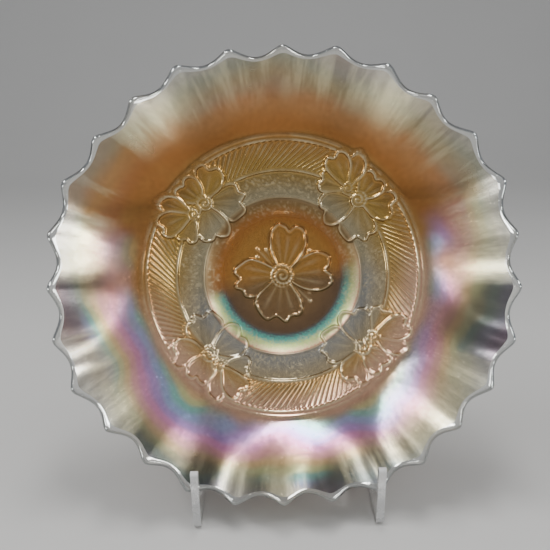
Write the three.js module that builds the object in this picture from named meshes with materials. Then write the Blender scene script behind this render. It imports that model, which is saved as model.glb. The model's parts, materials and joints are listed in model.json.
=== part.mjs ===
// A pressed and hand-ruffled glass bowl standing on edge in a clear plastic display stand.
// Millimetres, +Z up. The bowl faces -Y and leans back; the stand's feet are at z = 0.
import * as THREE from 'three';

// Bowl, in its own frame: its axis is z, its foot ring stands on z = 0 and its mouth opens to +z.
const RIM_RADIUS = 114.5; // to the scallop tips, before the rim is worked oval
const RIM_HEIGHT = 58; // of the tips, halfway between the ruffles' crests and dips
const RIM_WALL = 3.4;
const BASE_WALL = 4.6;
const FOOT_RADIUS = 42;
const FOOT_RING_WIDTH = 5;
const FOOT_RECESS = 2.8; // how far the underside is hollowed inside the foot ring
const FOOT_BEVEL = 1;
const FLOOR_HEIGHT = 7;
const FLOOR_RADIUS = 30;
const FLOOR_DISH = 0.3; // how much lower the floor is in its middle
const WELL_RADIUS = 43;
const WELL_DEPTH = 5.2; // from the floor up to the well's edge
const BORDER_INNER_RADIUS = 57;
const BORDER_OUTER_RADIUS = 72;
const RING_SLOPE = 0.36; // rise per run of the ring between the well and the border
const BORDER_SLOPE = 0.47;
const FLARE_START_SLOPE = 0.5;
const FLARE_STEPS = [0.28, 0.52, 0.74, 0.9]; // where the flare's rings of points lie along its run

// The rim's hand work. Angles are counter-clockwise from +x, seen from the bowl's mouth.
const SCALLOPS = 28;
const SCALLOP_DEPTH = 4.4;
const SCALLOP_ROUNDING = 0.18; // 0 gives sharp tips
const SCALLOP_REACH = 6; // the power of the wall's run at which the scallops fade out
const SCALLOP_TURN = -0.8; // degrees
const SCALLOP_STRETCH = 3.6; // degrees by which the tips crowd to one side
const SCALLOP_STRETCH_AT = 175;
const RUFFLES = 8;
const RUFFLE_RISE = 4;
const RUFFLE_SWAY = 2.6;
const RUFFLE_AT = 25; // degrees to an outward fold
const RIM_OVAL = 1.8;
const RIM_OVAL_AT = 8;

// Stand.
const LEAN = 20; // degrees that the bowl leans back
const FRAME_THICKNESS = 3.7;
const FOOT_SIDE_CLEARANCE = 1.2; // from the foot ring to each frame's inner face
const SEAT_HEIGHT = 18;
const SEAT_LENGTH = 11;
const LIP_HEIGHT = 16; // above the seat
const LIP_BASE = 5;
const LIP_TOP = 3.6;
const FOOT_SETBACK = 3; // of the front foot behind the lip's front
const RAIL_HEIGHT = 9;
const REAR_REACH = 132; // from the lip's rear face to the rear end of the rail
const ARM_DEPTH = 8;
const ARM_TOP = 26; // along the bowl's back, above the foot ring's centre
const BRACE_WIDTH = 8;
const BRACE_TOP = 2; // where the brace meets the arm, above the foot ring's centre
const CORNER = 2.5;
const WIDE_CORNER = 5;
const SEAT_CORNER = 1; // between the seat and the lip
const FRONT_FOOT_CORNER = 4;
const REAR_FOOT_CORNER = 3;
const TIP_ROUNDING = 0.46; // of the width of a bar's end; 0.5 gives a half circle

// Cross rods, with a shoulder against each frame and a spigot through it.
const ROD_RADIUS = 4;
const SPIGOT_RADIUS = 2.5;
const SPIGOT_PROUD = 1.2;
const ROD_ROUNDING = 0.6;
const REAR_ROD_INSET = 9; // from the rail's rear end
const REAR_ROD_HEIGHT = 6.75;

const FIT_GAP = 0.3; // between pieces that rest on or pass through each other
const SEGMENTS_PER_SCALLOP = 5;
const ARC_DIVISIONS = 4;
const ROD_SEGMENTS = 16;

const radians = THREE.MathUtils.degToRad;

// ---- the bowl's section

function innerHeight(radius) {
  const floorEdge = FLOOR_HEIGHT + FLOOR_DISH;
  const wellEdge = FLOOR_HEIGHT + WELL_DEPTH;
  const borderInner = wellEdge + RING_SLOPE * (BORDER_INNER_RADIUS - WELL_RADIUS);
  const borderOuter = borderInner + BORDER_SLOPE * (BORDER_OUTER_RADIUS - BORDER_INNER_RADIUS);
  if (radius <= FLOOR_RADIUS) {
    return THREE.MathUtils.lerp(FLOOR_HEIGHT, floorEdge, (radius / FLOOR_RADIUS) ** 2);
  }
  if (radius <= WELL_RADIUS) {
    const run = (radius - FLOOR_RADIUS) / (WELL_RADIUS - FLOOR_RADIUS);
    return THREE.MathUtils.lerp(floorEdge, wellEdge, run ** 2);
  }
  if (radius <= BORDER_INNER_RADIUS) {
    return wellEdge + RING_SLOPE * (radius - WELL_RADIUS);
  }
  if (radius <= BORDER_OUTER_RADIUS) {
    return borderInner + BORDER_SLOPE * (radius - BORDER_INNER_RADIUS);
  }
  const run = radius - BORDER_OUTER_RADIUS;
  const fullRun = RIM_RADIUS - BORDER_OUTER_RADIUS;
  const bend = (RIM_HEIGHT - borderOuter - FLARE_START_SLOPE * fullRun) / fullRun ** 2;
  return borderOuter + FLARE_START_SLOPE * run + bend * run ** 2;
}

function wallSlope(radius) {
  const step = 0.5;
  return (innerHeight(radius) - innerHeight(radius - step)) / step;
}

function flareRun(radius) {
  const run = (radius - BORDER_OUTER_RADIUS) / (RIM_RADIUS - BORDER_OUTER_RADIUS);
  return THREE.MathUtils.clamp(run, 0, 1);
}

// The wall's outer face lies one wall thickness behind the inner face, measured square to it.
function outerHeight(radius) {
  const wall = THREE.MathUtils.lerp(BASE_WALL, RIM_WALL, flareRun(radius));
  const slope = Math.max(wallSlope(radius), RING_SLOPE);
  return innerHeight(radius) - wall * Math.hypot(1, slope);
}

// Closed on the axis: underside, foot ring, outer wall, rounded rim, inner wall, floor.
function bowlSection() {
  const footInner = FOOT_RADIUS - FOOT_RING_WIDTH;
  const flareRadii = FLARE_STEPS.map((share) =>
    THREE.MathUtils.lerp(BORDER_OUTER_RADIUS, RIM_RADIUS - RIM_WALL, share));
  const wallRadii = [BORDER_INNER_RADIUS, BORDER_OUTER_RADIUS, ...flareRadii];
  const underside = [
    [0, FOOT_RECESS],
    [footInner - FOOT_BEVEL, FOOT_RECESS],
    [footInner, 0],
    [FOOT_RADIUS - FOOT_BEVEL, 0],
    [FOOT_RADIUS, FOOT_BEVEL],
    [FOOT_RADIUS, outerHeight(FOOT_RADIUS)],
  ];
  const outerWall = wallRadii.map((radius) => [radius, outerHeight(radius)]);
  const innerWall = [...wallRadii].reverse().map((radius) => [radius, innerHeight(radius)]);
  const well = [
    [WELL_RADIUS, innerHeight(WELL_RADIUS)],
    [(FLOOR_RADIUS + WELL_RADIUS) / 2, innerHeight((FLOOR_RADIUS + WELL_RADIUS) / 2)],
    [FLOOR_RADIUS, innerHeight(FLOOR_RADIUS)],
    [0, innerHeight(0)],
  ];
  const points = [...underside, ...outerWall, ...rimEdge(), ...innerWall, ...well];
  return points.map(([radius, height]) => new THREE.Vector2(radius, height));
}

// A half circle across the wall's edge, from its outer face round to its inner face.
function rimEdge() {
  const edgeRadius = RIM_WALL / 2;
  const steepness = Math.atan(wallSlope(RIM_RADIUS));
  const inner = new THREE.Vector2(RIM_RADIUS - edgeRadius, innerHeight(RIM_RADIUS - edgeRadius));
  const across = new THREE.Vector2(Math.sin(steepness), -Math.cos(steepness));
  const outward = new THREE.Vector2(Math.cos(steepness), Math.sin(steepness));
  const centre = inner.clone().addScaledVector(across, edgeRadius);
  return [90, 45, 0, -45, -90].map((turn) => {
    const angle = radians(turn);
    const point = centre.clone()
      .addScaledVector(outward, edgeRadius * Math.cos(angle))
      .addScaledVector(across, edgeRadius * Math.sin(angle));
    return [point.x, point.y];
  });
}

// Turns a point of the round section into its worked place: ruffled, oval and scalloped.
function workedPoint(radius, height, evenAngle) {
  const stretch = SCALLOP_STRETCH * Math.cos(evenAngle - radians(SCALLOP_STRETCH_AT));
  const angle = evenAngle + radians(SCALLOP_TURN + stretch);
  const run = flareRun(radius);
  const fold = Math.cos(RUFFLES * (angle - radians(RUFFLE_AT)));
  const swell = run ** 2 * (3 - 2 * run);
  const wave = Math.sin(SCALLOPS / 2 * evenAngle);
  const rounded = Math.sqrt((wave ** 2 + SCALLOP_ROUNDING ** 2) / (1 + SCALLOP_ROUNDING ** 2));
  const cut = SCALLOP_DEPTH * run ** SCALLOP_REACH * (rounded - SCALLOP_ROUNDING);
  const oval = RIM_OVAL * Math.cos(2 * (angle - radians(RIM_OVAL_AT)));
  const reach = radius + swell * (oval + RUFFLE_SWAY * fold) - cut;
  const level = height - swell * RUFFLE_RISE * fold - cut * wallSlope(RIM_RADIUS);
  return new THREE.Vector3(reach * Math.cos(angle), reach * Math.sin(angle), level);
}

function bowlGeometry() {
  const section = bowlSection();
  const turns = SCALLOPS * SEGMENTS_PER_SCALLOP;
  const geometry = new THREE.LatheGeometry(section, turns);
  const place = geometry.getAttribute('position');
  for (let turn = 0; turn <= turns; turn += 1) {
    const evenAngle = (turn % turns) / turns * 2 * Math.PI;
    section.forEach(({ x: radius, y: height }, row) => {
      const { x, y, z } = workedPoint(radius, height, evenAngle);
      place.setXYZ(turn * section.length + row, x, y, z);
    });
  }
  geometry.computeVertexNormals();
  return geometry;
}

// ---- the stand's side frames, drawn in the plane of y (across) and z (up)

// Adds a closed loop of straight runs to a path, each corner an arc of its own radius.
function addRoundedLoop(path, corners) {
  const at = (index) => {
    const [y, z] = corners[(index + corners.length) % corners.length];
    return new THREE.Vector2(y, z);
  };
  corners.forEach(([, , radius], index) => {
    const here = at(index);
    const back = at(index - 1).sub(here).normalize();
    const ahead = at(index + 1).sub(here).normalize();
    const halfAngle = Math.acos(back.dot(ahead)) / 2;
    const reach = radius / Math.tan(halfAngle);
    const inward = back.clone().add(ahead).normalize();
    const centre = here.clone().addScaledVector(inward, radius / Math.sin(halfAngle));
    const start = here.clone().addScaledVector(back, reach).sub(centre).angle();
    const end = here.clone().addScaledVector(ahead, reach).sub(centre).angle();
    path.absarc(centre.x, centre.y, radius, start, end, back.cross(ahead) > 0);
  });
  return path;
}

function addRoundHole(shape, centre, radius) {
  const hole = new THREE.Path();
  hole.absarc(centre.x, centre.y, radius, 0, Math.PI, false);
  hole.absarc(centre.x, centre.y, radius, Math.PI, 2 * Math.PI, false);
  shape.holes.push(hole);
}

// Where the line through a point along a direction reaches the height z.
function crossing(point, direction, z) {
  return point.clone().addScaledVector(direction, (z - point.y) / direction.y);
}

// Where two lines, each a point and a direction, meet.
function meeting(pointA, directionA, pointB, directionB) {
  const across = pointB.clone().sub(pointA);
  const share = across.cross(directionB) / directionA.cross(directionB);
  return pointA.clone().addScaledVector(directionA, share);
}

// The places that both frames and the rods share, from where the bowl's rim and foot lie.
function standLayout(rest) {
  const up = new THREE.Vector2(Math.sin(radians(LEAN)), Math.cos(radians(LEAN)));
  const towardsBowl = new THREE.Vector2(-up.y, up.x);
  const footCentre = new THREE.Vector2(0, rest.baseHeight);
  const armPlane = outerHeight(FOOT_RADIUS) - FIT_GAP;
  const armFront = footCentre.clone().addScaledVector(towardsBowl, armPlane);
  const armBack = armFront.clone().addScaledVector(towardsBowl, -ARM_DEPTH);
  const lipFace = rest.rimFront - FIT_GAP;
  const railRear = lipFace + REAR_REACH;
  const braceTop = armBack.clone().addScaledVector(up, BRACE_TOP);
  const braceFoot = new THREE.Vector2(railRear, REAR_FOOT_CORNER * 2);
  const braceRun = braceTop.clone().sub(braceFoot).normalize();
  const braceAcross = new THREE.Vector2(-braceRun.y, braceRun.x);
  const braceInner = braceFoot.clone().addScaledVector(braceAcross, BRACE_WIDTH);
  const armMiddle = armFront.clone().add(armBack).multiplyScalar(0.5);
  const frontRod = crossing(armMiddle, up, RAIL_HEIGHT);
  const rearRod = new THREE.Vector2(railRear - REAR_ROD_INSET, REAR_ROD_HEIGHT);
  return {
    up, armFront, armBack, lipFace, braceFoot, braceRun, braceInner, frontRod, rearRod,
  };
}

function frameOutline(layout) {
  const { up, armFront, armBack, lipFace, braceFoot, braceRun } = layout;
  const armTip = armFront.clone().addScaledVector(up, ARM_TOP);
  const armTipBack = armBack.clone().addScaledVector(up, ARM_TOP);
  const armRoot = crossing(armFront, up, RAIL_HEIGHT);
  const braceJoin = meeting(armBack, up, braceFoot, braceRun);
  const seatEnd = lipFace + SEAT_LENGTH;
  const lipFront = lipFace - LIP_BASE;
  const lipTop = SEAT_HEIGHT + LIP_HEIGHT;
  const lipTip = LIP_TOP * TIP_ROUNDING;
  const armTipCorner = ARM_DEPTH * TIP_ROUNDING;
  return addRoundedLoop(new THREE.Shape(), [
    [lipFront + FOOT_SETBACK, 0, FRONT_FOOT_CORNER],
    [braceFoot.x, 0, REAR_FOOT_CORNER],
    [braceFoot.x, braceFoot.y, CORNER],
    [braceJoin.x, braceJoin.y, WIDE_CORNER],
    [armTipBack.x, armTipBack.y, armTipCorner],
    [armTip.x, armTip.y, armTipCorner],
    [armRoot.x, armRoot.y, WIDE_CORNER],
    [seatEnd, RAIL_HEIGHT, CORNER],
    [seatEnd, SEAT_HEIGHT, CORNER],
    [lipFace, SEAT_HEIGHT, SEAT_CORNER],
    [lipFace - (LIP_BASE - LIP_TOP), lipTop, lipTip],
    [lipFront, lipTop, lipTip],
  ]);
}

// The triangle left open between the arm, the brace and the rail.
function frameWindow(layout) {
  const { up, armBack, braceInner, braceRun } = layout;
  const armFoot = crossing(armBack, up, RAIL_HEIGHT);
  const braceFoot = crossing(braceInner, braceRun, RAIL_HEIGHT);
  const peak = meeting(armBack, up, braceInner, braceRun);
  return addRoundedLoop(new THREE.Path(), [
    [armFoot.x, armFoot.y, CORNER],
    [braceFoot.x, braceFoot.y, CORNER],
    [peak.x, peak.y, CORNER],
  ]);
}

function frameGeometry(layout) {
  const shape = frameOutline(layout);
  shape.holes.push(frameWindow(layout));
  addRoundHole(shape, layout.frontRod, SPIGOT_RADIUS + FIT_GAP);
  addRoundHole(shape, layout.rearRod, SPIGOT_RADIUS + FIT_GAP);
  const geometry = new THREE.ExtrudeGeometry(shape, {
    depth: FRAME_THICKNESS,
    bevelEnabled: false,
    curveSegments: ARC_DIVISIONS,
  });
  geometry.translate(0, 0, -FRAME_THICKNESS / 2);
  const across = new THREE.Matrix4().makeBasis(
    new THREE.Vector3(0, 1, 0), new THREE.Vector3(0, 0, 1), new THREE.Vector3(1, 0, 0));
  return geometry.applyMatrix4(across);
}

function rodGeometry(frameX) {
  const shoulder = frameX - FRAME_THICKNESS / 2 - FIT_GAP;
  const tip = frameX + FRAME_THICKNESS / 2 + SPIGOT_PROUD;
  const half = [
    [SPIGOT_RADIUS - ROD_ROUNDING, tip],
    [SPIGOT_RADIUS, tip - ROD_ROUNDING],
    [SPIGOT_RADIUS, shoulder],
    [ROD_RADIUS - ROD_ROUNDING, shoulder],
    [ROD_RADIUS, shoulder - ROD_ROUNDING],
  ];
  const lower = half.map(([radius, along]) => [radius, -along]);
  const section = [[0, -tip], ...lower, ...half.reverse(), [0, tip]];
  const points = section.map(([radius, along]) => new THREE.Vector2(radius, along));
  return new THREE.LatheGeometry(points, ROD_SEGMENTS).rotateZ(-Math.PI / 2);
}

// ---- the assembly

const plastic = () => new THREE.MeshStandardMaterial({
  color: 0xdfe4e2, roughness: 0.12, metalness: 0, transparent: true, opacity: 0.4,
});
const glass = new THREE.MeshStandardMaterial({
  color: 0xb98a55, roughness: 0.1, metalness: 0.2, transparent: true, opacity: 0.8,
});

function namedMesh(name, geometry, material) {
  const mesh = new THREE.Mesh(geometry, material);
  mesh.name = name;
  return mesh;
}

// The mesh's corners between two planes of |x|, and where its edges cross those planes.
function slabPoints(geometry, innerX, outerX) {
  const place = geometry.getAttribute('position');
  const { array: corners } = geometry.getIndex();
  const limits = [-outerX, -innerX, innerX, outerX];
  const points = [];
  corners.forEach((corner, index) => {
    const next = index % 3 === 2 ? index - 2 : index + 1;
    const from = new THREE.Vector3().fromBufferAttribute(place, corner);
    const to = new THREE.Vector3().fromBufferAttribute(place, corners[next]);
    if (Math.abs(from.x) >= innerX && Math.abs(from.x) <= outerX) {
      points.push(from);
    }
    limits.filter((limit) => (from.x - limit) * (to.x - limit) < 0).forEach((limit) => {
      points.push(from.clone().lerp(to, (limit - from.x) / (to.x - from.x)));
    });
  });
  return points;
}

// How the leaning bowl sits: its foot centre's height, and the rim's front where the frames hold it.
function bowlRest(geometry, frameX) {
  const leanBack = new THREE.Matrix4().makeRotationX(radians(90 - LEAN));
  const half = FRAME_THICKNESS / 2;
  const held = slabPoints(geometry, frameX - half, frameX + half)
    .filter((point) => point.y < 0)
    .map((point) => point.applyMatrix4(leanBack));
  return {
    baseHeight: SEAT_HEIGHT + FIT_GAP - Math.min(...held.map((point) => point.z)),
    rimFront: Math.min(...held.map((point) => point.y)),
  };
}

function buildAssembly() {
  const frameX = FOOT_RADIUS + FOOT_SIDE_CLEARANCE + FRAME_THICKNESS / 2;
  const bowlShape = bowlGeometry();
  const rest = bowlRest(bowlShape, frameX);
  const layout = standLayout(rest);

  const bowl = namedMesh('glass_bowl', bowlShape, glass);
  bowl.rotation.x = radians(90 - LEAN);
  bowl.position.z = rest.baseHeight;

  const sides = [['left_side_frame', -frameX], ['right_side_frame', frameX]].map(([name, x]) => {
    const frame = namedMesh(name, frameGeometry(layout), plastic());
    frame.position.x = x;
    return frame;
  });
  const rods = [['front_cross_rod', layout.frontRod], ['rear_cross_rod', layout.rearRod]];
  const rodMeshes = rods.map(([name, { x: y, y: z }]) => {
    const rod = namedMesh(name, rodGeometry(frameX), plastic());
    rod.position.set(0, y, z);
    return rod;
  });

  const assembly = new THREE.Group();
  assembly.add(bowl, ...sides, ...rodMeshes);
  assembly.updateMatrixWorld(true);
  const box = new THREE.Box3().setFromObject(assembly, true);
  const centre = box.getCenter(new THREE.Vector3());
  assembly.position.set(-centre.x, -centre.y, -box.min.z);
  return assembly;
}

export default buildAssembly();
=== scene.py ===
import json
import math
from collections import namedtuple

import bmesh
import bpy
import numpy as np
from bpy.props import (
    FloatProperty, FloatVectorProperty, IntProperty, PointerProperty,
)
from mathutils import Matrix, Vector


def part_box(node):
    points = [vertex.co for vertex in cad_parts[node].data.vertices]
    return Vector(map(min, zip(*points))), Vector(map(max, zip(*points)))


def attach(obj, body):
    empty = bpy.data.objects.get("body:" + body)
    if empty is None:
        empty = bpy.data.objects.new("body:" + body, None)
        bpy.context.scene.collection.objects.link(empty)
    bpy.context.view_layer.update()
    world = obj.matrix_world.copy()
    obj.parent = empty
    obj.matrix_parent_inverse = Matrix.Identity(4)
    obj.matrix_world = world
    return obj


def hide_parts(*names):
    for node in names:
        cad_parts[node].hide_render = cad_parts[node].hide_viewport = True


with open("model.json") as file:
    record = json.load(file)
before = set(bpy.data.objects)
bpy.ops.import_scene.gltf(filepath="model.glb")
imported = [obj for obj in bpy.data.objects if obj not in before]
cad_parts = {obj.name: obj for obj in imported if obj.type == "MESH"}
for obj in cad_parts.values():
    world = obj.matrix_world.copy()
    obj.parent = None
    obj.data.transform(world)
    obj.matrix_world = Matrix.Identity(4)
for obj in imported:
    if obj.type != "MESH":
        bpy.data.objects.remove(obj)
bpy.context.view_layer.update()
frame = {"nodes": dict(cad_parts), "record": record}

bl_info = {
    "name": "Ruffled Lustre Bowl",
    "version": (1, 0, 0),
    "blender": (4, 5, 0),
    "location": "View3D > Sidebar > Glassware",
    "description": "A pressed lustre-glass bowl with a ruffled rim, its clear stand and a plain studio",
    "category": "Add Mesh",
}

MM = 0.001  # metres; the shapes below are worked out in millimetres

# ---- the bowl's section, in its own frame: its axis is z, and its foot ring stands on z = 0

FOOT_RADIUS = 42
FOOT_RING_WIDTH = 5
FOOT_MOUNT_DROP = 39  # how far below the bowl's axis the record's mount on the ring is
FOOT_RECESS = 2.8
FOOT_ROUNDING = 1
FLOOR_HEIGHT = 7
FLOOR_RADIUS = 30
FLOOR_DISH = 0.3
WELL_RADIUS = 43
WELL_DEPTH = 5.2
BORDER_INNER_RADIUS = 57
BORDER_OUTER_RADIUS = 72
RING_SLOPE = 0.36
BORDER_SLOPE = 0.47
FLARE_START_SLOPE = 0.5
SCALLOP_ROUNDING = 0.25
SCALLOP_REACH = 6
SCALLOP_TURN = -0.8  # degrees
SCALLOP_STRETCH = 3.6  # degrees by which the tips crowd to one side
SCALLOP_STRETCH_AT = 175
RUFFLE_AT = 25  # degrees to an outward fold
RIM_OVAL = 1.8
RIM_OVAL_AT = 8
OUTER_EASE = 14  # how far in from the rim the outer face eases into the rounded edge

# ---- the pressed ornament of the inner face

# Each pair of blossoms: where its larger blossom stands round the bowl and how far the pair is
# twisted, in degrees.
BLOSSOM_PAIRS = [(44, 2), (136.5, 2), (226, -8), (317, 9)]
BLOSSOM_RADIUS = 58.3
SECOND_BLOSSOM_STEP = 8.4  # mm from the larger blossom's centre, counter-clockwise
DISC_RADIUS = 4.5
SECOND_DISC_RADIUS = 3.3

# Petal outlines as (across, along) points: along runs from the blossom's centre to the tip at 1.
NOTCHED = [(0, 0.02), (0.2, 0.18), (0.42, 0.46), (0.5, 0.76), (0.36, 0.97), (0.13, 0.95), (0, 0.88),
           (-0.15, 0.98), (-0.38, 0.94), (-0.5, 0.7), (-0.4, 0.4), (-0.18, 0.16)]
HEART = [(0, 0.02), (0.2, 0.22), (0.42, 0.55), (0.5, 0.82), (0.3, 0.98), (0.08, 0.9),
         (-0.18, 1.0), (-0.42, 0.86), (-0.44, 0.56), (-0.2, 0.24)]
LEAF = [(0, 0.02), (0.24, 0.26), (0.44, 0.58), (0.34, 0.84), (0.1, 1.0), (-0.12, 0.95),
        (-0.38, 0.8), (-0.46, 0.52), (-0.24, 0.24)]
WAVY_FAN = [(0, 0.02), (0.26, 0.24), (0.5, 0.58), (0.48, 0.8), (0.3, 0.86), (0.2, 1.0),
            (-0.02, 0.9), (-0.22, 1.0), (-0.4, 0.86), (-0.52, 0.62), (-0.3, 0.26)]

# (direction in degrees, length, width, outline), in mm. A pair's directions count clockwise from the
# tangent, and the middle flower's count counter-clockwise from the right.
MAIN_PETALS = [
    (222, 22, 19, WAVY_FAN),
    (297, 20.5, 18, NOTCHED),
    (149, 19.5, 16, HEART),
    (84, 15.5, 14.5, NOTCHED),
]
SECOND_PETALS = [
    (336, 16, 13, HEART),
    (62, 18.5, 11.5, LEAF),
    (20, 19.5, 13.5, HEART),
]
CENTRE_PETALS = [
    (184, 26.5, 20, WAVY_FAN),
    (6, 27.5, 21, NOTCHED),
    (80, 28.5, 20, NOTCHED),
    (262, 25, 25, WAVY_FAN),
]
CENTRE_DISC_RADIUS = 6.4
STAMEN_TUFTS = [42, 132, 221, 317]  # degrees, between the middle flower's petals
STAMEN_SPREAD = 11  # degrees between a tuft's stamens
STAMEN_LENGTHS = [17, 20.5, 17.5]

INNER_WIRE_RADIUS = BORDER_INNER_RADIUS + 0.6
OUTER_WIRE_RADIUS = BORDER_OUTER_RADIUS + 0.8
# Each wire's radius and its height as a share of the relief's.
WIRES = [(INNER_WIRE_RADIUS, 0.85), (OUTER_WIRE_RADIUS, 0.9), (OUTER_WIRE_RADIUS + 2.1, 0.4)]
WIRE_WIDTH = 0.75
OUTLINE_WIDTH = 0.72
OUTLINE_INSET = 0.1  # mm in from a petal's edge to the middle of its raised outline
SHADE_LINE_OFFSET = 1.25  # mm out from a petal's edge to the painted shade line round it
ROPE_TURN_STEPS = 15  # columns of the flare's rings that a rope ridge turns through on its way out
WELL_STEP = 0.8
WELL_LINE_HEIGHT = 0.45
FLOOR_RING_HEIGHT = 0.25
GRAIN_SIZE = 1.0
GRAIN_HEIGHT = 0.3
GRAIN_CELLS = 512
RIB_HEIGHT = 0.16
RIB_WIDTH = 2.2

# ---- the grid that the bowl's faces are made on

FINE_COLUMNS = 840  # six to each rope ridge, thirty to each scallop
CENTRE_FINE_RADIUS = 18
RELIEF_START_RADIUS = 41.1
RELIEF_END_RADIUS = 75.3
CENTRE_STEP = 0.64
MIDDLE_STEP = 0.6
RELIEF_STEP = 0.56
FLARE_STEP = 1.15
RIM_EDGE_STEPS = 7
OUTER_FLARE_STEP = 1.9
OUTER_WALL_STEP = 2.4
UNDERSIDE_STEP = 2.6

# The bowl's material slots.
FILM_SLOT, BACK_SLOT, RIM_SLOT = range(3)

# ---- the stand

SPIGOT_RADIUS = 2.5
SHOULDER_CLEARANCE = 0.3  # from a rod's shoulder to the side frame
ROD_ROUNDING = 0.6
ROD_SIDES = 48
CORNER_STEPS = 3
SHARP_ANGLE = math.radians(50)  # edges sharper than this are rounded

# ---- the studio

LIGHT_DISTANCE = 0.75  # metres from the rim's centre
# (name, degrees round the bowl's axis, degrees towards its mouth, (width, length) in metres, share of
# the power)
STRIP_LIGHTS = [
    ("top strip", 88, 21, (0.14, 0.36), 1.0),
    ("upper left strip", 141, 21, (0.13, 0.34), 1.0),
    ("upper right strip", 24, 21, (0.12, 0.32), 0.65),
    ("left strip", 187, 22, (0.12, 0.32), 0.4),
    ("right strip", 352, 22, (0.12, 0.32), 0.4),
]


def settings():
    return bpy.context.scene.lustre_bowl


# ------------------------------------------------------------------ settings


class BowlSettings(bpy.types.PropertyGroup):
    """Sizes and colours of the glass bowl"""

    rim_radius: FloatProperty(
        name="Rim radius", description="From the axis to the scallop tips",
        default=0.1145, min=0.08, max=0.16, unit="LENGTH")
    rim_height: FloatProperty(
        name="Rim height", description="From the foot to the scallop tips",
        default=0.058, min=0.045, max=0.08, unit="LENGTH")
    rim_wall: FloatProperty(
        name="Wall at the rim", description="Thickness of the glass at the rim",
        default=0.0034, min=0.002, max=0.006, unit="LENGTH")
    base_wall: FloatProperty(
        name="Wall at the base", description="Thickness of the glass below the flare",
        default=0.0046, min=0.003, max=0.008, unit="LENGTH")
    scallops: IntProperty(
        name="Scallops", description="Points round the rim; a divisor of 420 keeps them sharp",
        default=28, min=12, max=60)
    scallop_depth: FloatProperty(
        name="Scallop depth", description="How deep the rim is cut between its points",
        default=0.0052, min=0, max=0.01, unit="LENGTH")
    ruffles: IntProperty(
        name="Ruffles", description="Folds round the flare", default=8, min=0, max=14)
    ruffle_rise: FloatProperty(
        name="Ruffle rise", description="How far a fold lifts or drops the rim",
        default=0.004, min=0, max=0.012, unit="LENGTH")
    ruffle_sway: FloatProperty(
        name="Ruffle sway", description="How far a fold pushes the rim out or in",
        default=0.0026, min=0, max=0.008, unit="LENGTH")
    relief: FloatProperty(
        name="Relief", description="Height of the petal outlines above the glass",
        default=0.00105, min=0, max=0.002, unit="LENGTH")
    rope_ridges: IntProperty(
        name="Rope ridges", description="Slanted ridges round the border; 140 or 120 suit the grid",
        default=140, min=60, max=168)
    amber: FloatVectorProperty(
        name="Amber", description="Film colour of the upper flare's foot",
        default=(0.40, 0.155, 0.035), min=0, max=1, subtype="COLOR")
    gold: FloatVectorProperty(
        name="Gold", description="Film colour of the lower rope border",
        default=(0.52, 0.31, 0.105), min=0, max=1, subtype="COLOR")
    silver: FloatVectorProperty(
        name="Silver", description="Film colour of the upper rim",
        default=(0.46, 0.44, 0.38), min=0, max=1, subtype="COLOR")
    # Cream is the colour of the painted highlight streaks on the flare, near their inner ends.
    cream: FloatVectorProperty(
        name="Cream", description="Film colour of the pale streaks' inner ends",
        default=(0.88, 0.66, 0.34), min=0, max=1, subtype="COLOR")


class StandSettings(bpy.types.PropertyGroup):
    """Finish of the clear plastic stand"""

    edge_rounding: FloatProperty(
        name="Edge rounding", description="Radius on the cut edges of the side frames",
        default=0.00045, min=0.0001, max=0.0012, unit="LENGTH")
    tint: FloatVectorProperty(
        name="Tint", description="Colour of the clear plastic",
        default=(0.97, 0.965, 0.95), min=0, max=1, subtype="COLOR")


class StageSettings(bpy.types.PropertyGroup):
    """Floor, light and camera"""

    floor_colour: FloatVectorProperty(
        name="Floor", description="Colour of the plain floor and backdrop",
        default=(0.56, 0.55, 0.53), min=0, max=1, subtype="COLOR")
    light_power: FloatProperty(
        name="Light", description="Power of the overhead strip", default=2.6, min=0, unit="POWER")
    sky_strength: FloatProperty(
        name="Sky", description="Strength of the even light from all round", default=0.50, min=0)
    view_azimuth: FloatProperty(
        name="View azimuth", description="How far left of the bowl's axis the camera stands",
        default=math.radians(1.5), subtype="ANGLE", unit="ROTATION")
    view_elevation: FloatProperty(
        name="View elevation", description="How far above the rim's centre the camera stands",
        default=math.radians(18.4), subtype="ANGLE", unit="ROTATION")
    view_roll: FloatProperty(
        name="View roll", description="How far the camera is turned clockwise",
        default=math.radians(0.8), subtype="ANGLE", unit="ROTATION")
    view_distance: FloatProperty(
        name="View distance", description="From the camera to the rim's centre",
        default=0.335, min=0.1, unit="LENGTH")
    aim_left: FloatProperty(
        name="Aim left", description="How far left of the rim's centre the camera aims",
        default=0.0047, unit="LENGTH")
    aim_below: FloatProperty(
        name="Aim below", description="How far below the rim's centre the camera aims",
        default=0.0009, unit="LENGTH")
    lens: FloatProperty(
        name="Lens", description="Focal length on a 36 mm wide sensor", default=45.2, unit="CAMERA")


class LustreBowlSettings(bpy.types.PropertyGroup):
    """Everything that the panel shows"""

    bowl: PointerProperty(type=BowlSettings)
    stand: PointerProperty(type=StandSettings)
    stage: PointerProperty(type=StageSettings)


# ------------------------------------------------------------------ shape helpers


def smooth(low, high, value):
    """0 below low, 1 above high, and an even curve between them; low may be the larger."""
    share = np.clip((value - low) / (high - low), 0, 1)
    return share * share * (3 - 2 * share)


def mix(first, second, share):
    return first * (1 - share) + second * share


def ridge(distance, width):
    """A rounded ridge of height 1 on distance 0."""
    return np.exp(-(distance / width) ** 2)


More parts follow.
